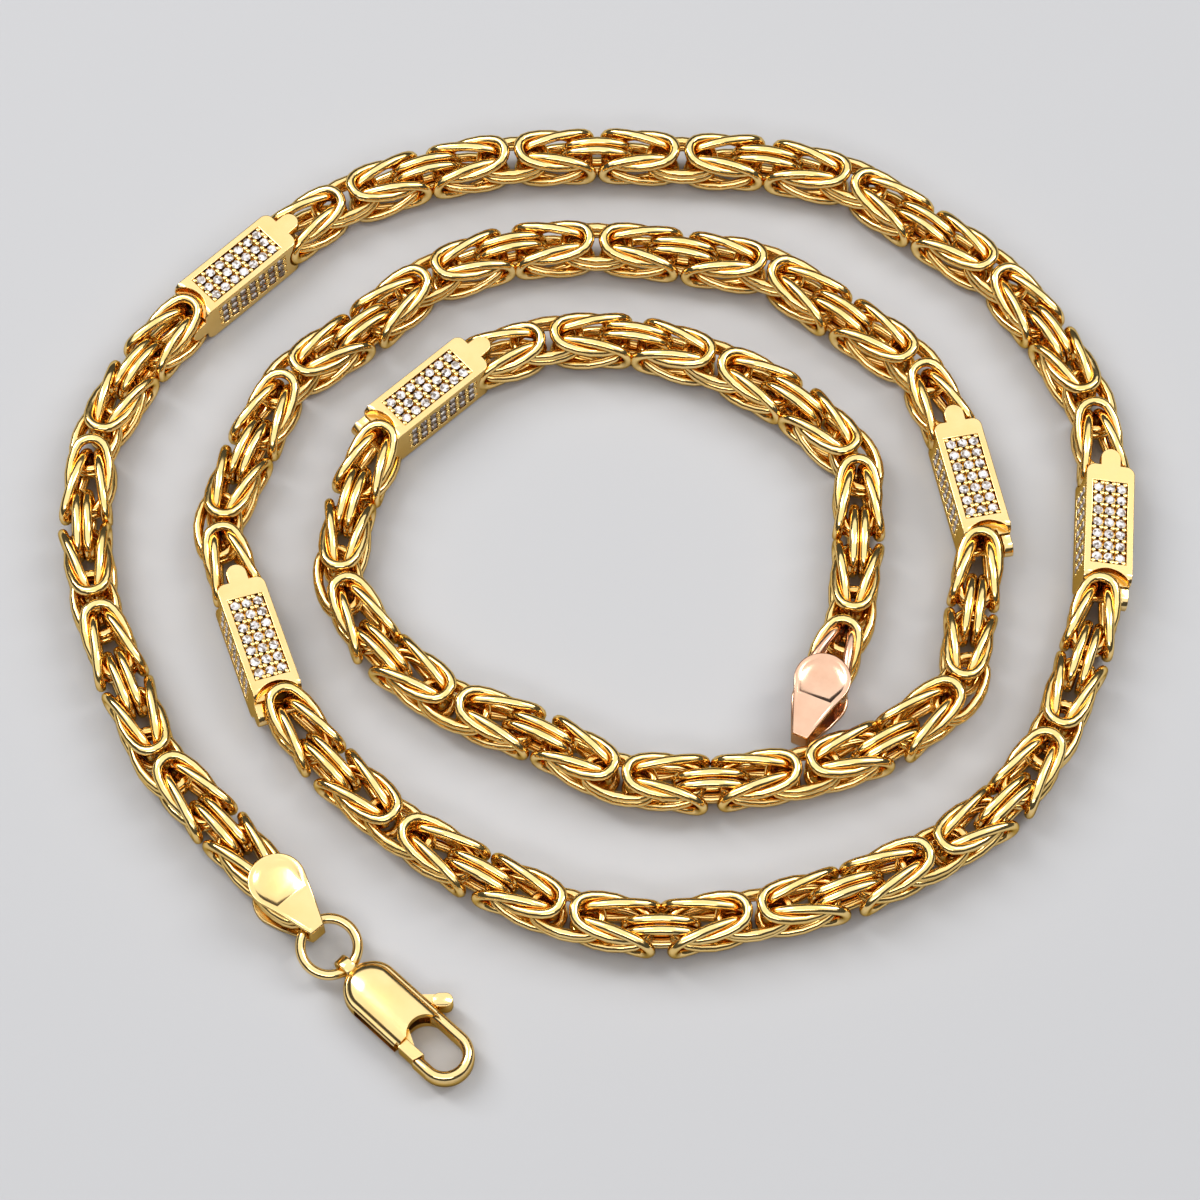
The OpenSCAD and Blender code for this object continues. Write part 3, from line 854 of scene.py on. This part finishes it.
# %% [markdown]
# ## The folded caps
# A cap is one strip of metal, folded over so that two leaves hold the last links between them, and
# its fold holds the jump ring or the clasp. From above, each leaf is a round disc with a tongue
# that narrows to the fold. A goldsmith bends a strip of sheet. Here it is quicker to cut the disc
# straight across and to extrude the cut face to the crease, down the slope and round to the middle
# of the fold. The same half, turned over, makes the other leaf.

# %% Half a cap
CAP_R, CAP_T, CAP_LEN, CREASE_X = 2.5, 0.4, 5.3, 2.1
FOLD_W, FOLD_H, CAP_HALF = 1.4, 2.2, 2.5
# where the tongue's straight sides leave the round disc, as an angle from its middle
STRIP_TURN = math.acos(CAP_R / math.hypot(CAP_LEN, FOLD_W / 2)) + math.atan2(FOLD_W / 2, CAP_LEN)


def extrude(x=0.0, y=0.0, z=0.0):
    """Extrudes the selected faces by millimetres."""
    bpy.ops.mesh.extrude_region_move(TRANSFORM_OT_translate={"value": (x * MM, y * MM, z * MM)})


def narrow(share):
    """Brings the selected faces down to this share of their width, about y = 0."""
    bpy.ops.transform.resize(value=(1, share, 1), center_override=(0, 0, 0))


def half_cap(back):
    """The upper leaf with its half of the fold, open at z = 0."""
    side_x, side_y = CAP_R * math.cos(STRIP_TURN) - back, CAP_R * math.sin(STRIP_TURN)
    ends = [CREASE_X - back, CAP_LEN - back - CAP_T, CAP_LEN - back]

    def half_width(x):
        return side_y + (FOLD_W / 2 - side_y) * (x - side_x) / (ends[2] - side_x)

    widths = [side_y] + [half_width(x) for x in ends]
    slope = (FOLD_H / 2 - CAP_HALF) / (ends[2] - ends[0])
    half = oval(-back, -back, CAP_R, CAP_HALF - CAP_T, CAP_HALF, sides=64)
    activate(half)
    bpy.ops.object.mode_set(mode="EDIT")
    bpy.ops.mesh.select_all(action="SELECT")
    bpy.ops.mesh.bisect(
        plane_co=(side_x * MM, 0, 0), plane_no=(1, 0, 0), use_fill=True, clear_outer=True)
    edit(half, lambda p, n: n.x > 0.99)
    extrude(x=ends[0] - side_x)
    narrow(widths[1] / widths[0])
    extrude(x=ends[1] - ends[0], z=slope * (ends[1] - ends[0]))
    narrow(widths[2] / widths[1])
    extrude(x=ends[2] - ends[1], z=slope * (ends[2] - ends[1]))
    narrow(widths[3] / widths[2])
    for up in (1, -1):
        edit(half, lambda p, n: n.z * up > 0.999)
        bpy.ops.mesh.dissolve_faces()
    edit(half, lambda p, n: n.z < -0.9 and p.x > ends[1] * MM)
    extrude(z=-0.3)
    bpy.ops.transform.resize(value=(1, 1, 0), center_override=(0, 0, 0))  # down to z = 0
    bpy.ops.mesh.delete(type="FACE")
    leave()
    return half


print("the tongue starts", round(math.degrees(STRIP_TURN), 1), "degrees round the disc")

# %% [markdown]
# ### Both caps
# Pressing leaves a rounded lip round each leaf and a shallow dish in its disc: insets of the outer
# faces, each lowered a little, read as one soft bowl under smooth shading. `fold` doubles the half,
# merges the seam and adds the post that the last links hook round. Both caps are made in a frame
# with the chain's last joint at the origin and the fold towards +x.

# %% Caps
LIP, LIP_DEPTH = 0.2, 0.06
DISH_STEPS = [(0.1, 0.0), (0.12, 0.06), (0.2, 0.09), (0.25, 0.06), (0.3, 0.04)]  # inward, down
LEAF_FLAT_FROM = 6
POST_R, POST_HALF = 0.45, 2.15
OUTER_FROM, DISC_FROM = 1, 2.2  # how high the pressed faces lie, to find them


def press(piece, up):
    """Lip and dish in the leaf that faces up (1) or down (-1)."""

    def outer(p, n):
        level = n.z * up > 0.999
        sloping = abs(n.y) < 0.01 and 0.9 < n.z * up < 0.93 and n.x > 0.3
        return p.z * up > OUTER_FROM * MM and (level or sloping)

    found = edit(piece, outer)
    bpy.ops.mesh.inset(thickness=LIP * MM, use_boundary=True)
    shift(z=-LIP_DEPTH * up)
    edit(piece, lambda p, n: n.z * up > 0.999 and p.z * up > DISC_FROM * MM)
    for inward, down in DISH_STEPS:
        bpy.ops.mesh.inset(thickness=inward * MM, use_boundary=True)
        shift(z=-down * up)
    leave()
    return found


def fold(name, back, post_x):
    """A whole cap, its disc's middle `back` mm behind the joint and its post at post_x."""
    leaf = half_cap(back)
    under = settle(copy_of(leaf, "under"), Matrix.Rotation(math.pi, 4, "X"))
    leaf = join([leaf, under], name)
    activate(leaf)
    bpy.ops.object.mode_set(mode="EDIT")
    bpy.ops.mesh.select_all(action="SELECT")
    bpy.ops.mesh.remove_doubles(threshold=0.005 * MM)
    bpy.ops.mesh.normals_make_consistent(inside=False)
    leave()
    soften(leaf, 0.12, 3, 30, LEAF_FLAT_FROM)
    pressed = press(leaf, 1) + press(leaf, -1)
    leaf = join([leaf, oval(post_x, post_x, POST_R, -POST_HALF, POST_HALF, sides=24)], name)
    print(name, "has", faces_of(leaf), "faces, pressed:", pressed)
    return even_shade(leaf, LEAF_FLAT_FROM)


def joint_place(joint, heading):
    """The frame of a cap: its origin at a joint and its +x towards a heading in degrees."""
    return Matrix.Translation(joint * MM) @ Matrix.Rotation(math.radians(heading), 4, "Z")


CLASP_HEADING, TAIL_HEADING = -48, -113
first_joint, last_joint = stations[0][0], stations[-1][-1]
clasp_cap = set_in_place(
    fold("clasp_cap_leaf", 0.3, 1.8), "clasp_cap_leaf", joint_place(first_joint, CLASP_HEADING))
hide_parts("clasp_cap")
tail_cap = set_in_place(
    fold("tail_cap_leaf", 0.6, -2.3), "tail_cap_leaf", joint_place(last_joint, TAIL_HEADING),
    rose_gold)
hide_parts("tail_cap")

# %% [markdown]
# ## The jump ring
# The jump ring is round wire, cut once, and its packed form is right. A new torus would look the
# same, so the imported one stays, with the clasp's gold in its slot.

# %% Jump ring
nodes["jump_ring"].data.materials.clear()
nodes["jump_ring"].data.materials.append(cast_gold)
print("jump ring keeps", faces_of(nodes["jump_ring"]), "faces")

# %% [markdown]
# ## The clasp
# A trigger clasp is cast in one loop with a hollow housing. From above it is a long oval with a
# long hole, and its arms are rounded by the polishing drum. It is modelled lying along x with the
# middle of its bail at the origin, and moved to its place at the end. The gate is on its -y side.

# %% Clasp frame
CLASP_W, CLASP_T = 5.0, 3.0
NOSE_X, HOOK_X = 3.0, 11.5  # middles of the round ends
HOLE_X1, HOLE_X2, HOLE_Y, HOLE_R = 9.0, 11.4, 0.1, 1.5
HINGE_X = 4.6
MOUTH_X = 7.9  # from here on the gate's side is open
THROUGH = (-3, 3)  # z of a cut through the whole clasp
GATE_SIDE, BOTH_SIDES = (-5, 0), (-5, 5)  # y of a cut on one side or on both

BAIL_FROM_JOINT, CLASP_TURN = 8.697, 5.2
clasp_place = (
    Matrix.Translation(Vector((first_joint.x, first_joint.y, CLASP_T / 2)) * MM)
    @ Matrix.Rotation(math.radians(CLASP_HEADING), 4, "Z")
    @ Matrix.Translation((BAIL_FROM_JOINT * MM, 0, 0))
    @ Matrix.Rotation(math.radians(CLASP_TURN), 4, "Z")
)
print("the bail is at", [round(c / MM, 2) for c in clasp_place.translation], "mm")

# %% [markdown]
# ### The hook
# The hook and both arms are as round on top as thick wire. They start as a torus, pulled apart
# along its length like a ring of the chain and then in height, so that the sides stand upright. A
# bisect opens it towards the housing, and the arc that the gate's tip sweeps is cut out of one arm.

# %% Hook
ARM_THICK = 1.02
LOOP_HALF = 1.02  # half the height of the hook and the housing
ARM_CUTS = 64  # round the torus
ARMS_FROM = 8.5
GATE_SWEEP = 5.97  # how far the gate's tip, with its gap, reaches from the hinge

bpy.ops.object.select_all(action="DESELECT")
bpy.ops.mesh.primitive_torus_add(
    major_segments=ARM_CUTS, minor_segments=20, major_radius=(CLASP_W - ARM_THICK) / 2 * MM,
    minor_radius=ARM_THICK / 2 * MM, location=(HOLE_X1 * MM, 0, 0),
    rotation=(0, 0, math.pi / ARM_CUTS),
)
hook = bpy.context.object
bpy.ops.object.transform_apply(location=True, rotation=True, scale=True)
edit(hook, lambda p, n: p.x > HOLE_X1 * MM, "VERT")
shift(x=HOOK_X - HOLE_X1)
for side in (1, -1):
    edit(hook, lambda p, n: p.z * side > 0.01 * MM, "VERT")
    shift(z=side * (LOOP_HALF - ARM_THICK / 2))
bpy.ops.mesh.select_all(action="SELECT")
bpy.ops.mesh.bisect(
    plane_co=(ARMS_FROM * MM, 0, 0), plane_no=(1, 0, 0), use_fill=True, clear_inner=True)
leave()
sweep = oval(HINGE_X, HINGE_X, GATE_SWEEP, *THROUGH, sides=96)
combine(sweep, block((MOUTH_X, 12), GATE_SIDE, (-4, 4)), "INTERSECT")
combine(hook, sweep)
soften(hook, 0.07, 2, 50, largest=1)
print("hook has", faces_of(hook), "faces")

# %% [markdown]
# ### The housing's lower part
# It is the same outline seen from above, with its edges rounded before anything is cut, so that the
# round runs on into the arms. The hole, the end towards the arms and the lever's slot are cut last.

# %% Housing
SLOT = (-0.7, 0.7)
HOUSING_FLAT_FROM = 4
HOUSING_CUTS = [  # x, y and z of each block that is cut away
    ((8.56, 20), BOTH_SIDES, THROUGH),  # all past the housing's end
    ((3.2, 8.3), BOTH_SIDES, SLOT),  # the lever's slot
    ((3.2, 9.0), (-5, 1.5), SLOT),  # the slot's longer part, where the gate swings
    ((MOUTH_X, 9.0), GATE_SIDE, THROUGH),  # room for the gate
]

housing = oval(NOSE_X, HOOK_X, CLASP_W / 2, -LOOP_HALF, LOOP_HALF)
soften(housing, 0.45, 5, 40, HOUSING_FLAT_FROM)
combine(housing, oval(HOLE_X1, HOLE_X2, HOLE_R, *THROUGH, y=HOLE_Y, sides=64))
for cut in HOUSING_CUTS:
    combine(housing, block(*cut))
even_shade(housing, HOUSING_FLAT_FROM)
loop = set_in_place(join([housing, hook], "clasp_loop"), "clasp_loop", clasp_place)
print("loop has", faces_of(loop), "faces")

# %% [markdown]
# ### The dome
# Over the housing, on both faces of the clasp, lies a dome. It is an oval too, narrower than the
# housing. Its top face is inset again and again and lifted less each time, which gives a pillow
# with steep sides and a broad, calm top. An arc round the hole is cut away, a copy is turned over
# for the under side, and both end in a straight cut where the gate begins.

# %% Dome
DOME_X1, DOME_X2, DOME_HALF, DOME_BASE = 2.87, 8.4, 2.15, 0.6
DOME_STEPS = [  # inward, up
    (0.06, 0.2), (0.15, 0.18), (0.27, 0.14), (0.37, 0.1), (0.45, 0.07), (0.4, 0.03),
]
ARC_X1, ARC_X2, ARC_R = 9.35, 12, 1.75
DOME_END_X = 8.2  # on the gate's side

dome_wall = CLASP_T / 2 - sum(up for inward, up in DOME_STEPS)
dome = oval(DOME_X1, DOME_X2, DOME_HALF, DOME_BASE, dome_wall, sides=64)
edit(dome, lambda p, n: n.z > 0.99)
for inward, up in DOME_STEPS:
    bpy.ops.mesh.inset(thickness=inward * MM)
    shift(z=up)
leave()
combine(dome, oval(ARC_X1, ARC_X2, ARC_R, *THROUGH, y=HOLE_Y, sides=64))
under = settle(copy_of(dome, "clasp_dome_under"), Matrix.Rotation(math.pi, 4, "X"))
for half, name in ((dome, "clasp_dome"), (under, "clasp_dome_under")):
    combine(half, block((DOME_END_X, ARC_X2), GATE_SIDE, THROUGH))
    activate(half)
    bpy.ops.object.shade_smooth_by_angle(angle=math.radians(60))
    set_in_place(half, name, clasp_place)
print("dome has", faces_of(dome), "faces")

# %% [markdown]
# ### The bail and the hinge pin
# The bail is the small upright eye that the jump ring passes through, at the housing's nose. It
# could be bent wire, but it is cast on, so it is a short thick ring: an oval with a hole, stood
# upright, with round edges. The pin is a plain rod that the lever turns on. With the loop and the
# domes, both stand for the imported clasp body.

# %% Bail and pin
BAIL_R, BAIL_HOLE_R, BAIL_W = 1.15, 0.72, 1.1
BAIL_BORE = (-2, 2)  # the cutter's reach through the bail
PIN_R, PIN_HALF = 0.4, 1.3

bail = oval(0, 0, BAIL_R, -BAIL_W / 2, BAIL_W / 2, sides=32)
combine(bail, oval(0, 0, BAIL_HOLE_R, *BAIL_BORE, sides=24))
settle(bail, Matrix.Rotation(math.pi / 2, 4, "X"))
soften(bail, 0.14, 3, 50)
set_in_place(bail, "clasp_bail", clasp_place)

pin = oval(HINGE_X, HINGE_X, PIN_R, -PIN_HALF, PIN_HALF, sides=20)
soften(pin, 0.06, 2, 50)
set_in_place(pin, "clasp_hinge_pin", clasp_place)
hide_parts("clasp_body")
print("bail and pin have", faces_of(bail), "and", faces_of(pin), "faces")

# %% [markdown]
# ### The lever
# One casting again: a hub on the hinge pin, a gate that closes the hook, and an arm out of the
# other side to a thumb tab. It is built with its hinge at the origin. First come the hub and what
# is inside the slot: a plate that slants over to the gate's side, and the arm, a turned block.

# %% Lever's hub
HUB_R, PIN_HOLE_R, ARM_W = 1.2, 0.45, 1.15
LEVER_Z = (-0.6, 0.6)
PLATE_X, PLATE_Y = (0, 4.5), (-1.25, 1.2)
PLATE_TOP_DROP, PLATE_FOOT_DROP = 2.4, 1.05  # how far the plate's outer corners lie towards -y
THUMB_TURN, THUMB_LEN = math.radians(43.5), 4.8

hub = oval(0, 0, HUB_R, *LEVER_Z, sides=32)
plate = block(PLATE_X, PLATE_Y, LEVER_Z)
edit(plate, lambda p, n: p.x > HUB_R * MM and p.y > 0, "VERT")
shift(y=-PLATE_TOP_DROP)
edit(plate, lambda p, n: p.x > HUB_R * MM and p.y < (PLATE_Y[0] + 0.03) * MM, "VERT")
shift(y=-PLATE_FOOT_DROP)
leave()
combine(hub, plate, "UNION")
arm = block((0, THUMB_LEN), (-ARM_W / 2, ARM_W / 2), LEVER_Z)
settle(arm, Matrix.Rotation(THUMB_TURN, 4, "Z"))
combine(hub, arm, "UNION")
combine(hub, oval(0, 0, PIN_HOLE_R, *THROUGH, sides=24))
soften(hub, 0.1, 2, 50)
print("hub, plate and arm have", faces_of(hub), "faces")

# %% [markdown]
# The gate is as thick as the arms, and its tip follows the circle that it sweeps. The thumb tab is
# a small oval with a dip for the nail. The lever turns with the body named lever, so nothing of it
# is joined to the loop.

# %% Gate and thumb tab
GATE_X, GATE_Y, GATE_Z = (3.6, 5.85), (-2.3, -1.25), (-0.95, 0.95)
THUMB_R, THUMB_HALF = 0.62, 0.25
NAIL_RIM, NAIL_DIP = 0.22, 0.12

gate = block(GATE_X, GATE_Y, GATE_Z)
combine(gate, oval(0, 0, GATE_X[1], *THROUGH, sides=96), "INTERSECT")
soften(gate, 0.2, 3, 50)

thumb = oval(-THUMB_HALF, THUMB_HALF, THUMB_R, *GATE_Z, sides=32)
edit(thumb, lambda p, n: n.z > 0.9)
bpy.ops.mesh.inset(thickness=NAIL_RIM * MM)
shift(z=-NAIL_DIP)
leave()
thumb_at = Vector((math.cos(THUMB_TURN), math.sin(THUMB_TURN), 0)) * THUMB_LEN * MM
settle(thumb, Matrix.Translation(thumb_at) @ Matrix.Rotation(THUMB_TURN, 4, "Z"))
soften(thumb, 0.12, 3, 40)

lever_place = clasp_place @ Matrix.Translation((HINGE_X * MM, 0, 0))
lever = join([hub, gate, thumb], "clasp_gate_lever")
set_in_place(lever, "clasp_gate_lever", lever_place, body="lever")
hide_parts("clasp_lever")
print("lever has", faces_of(lever), "faces")
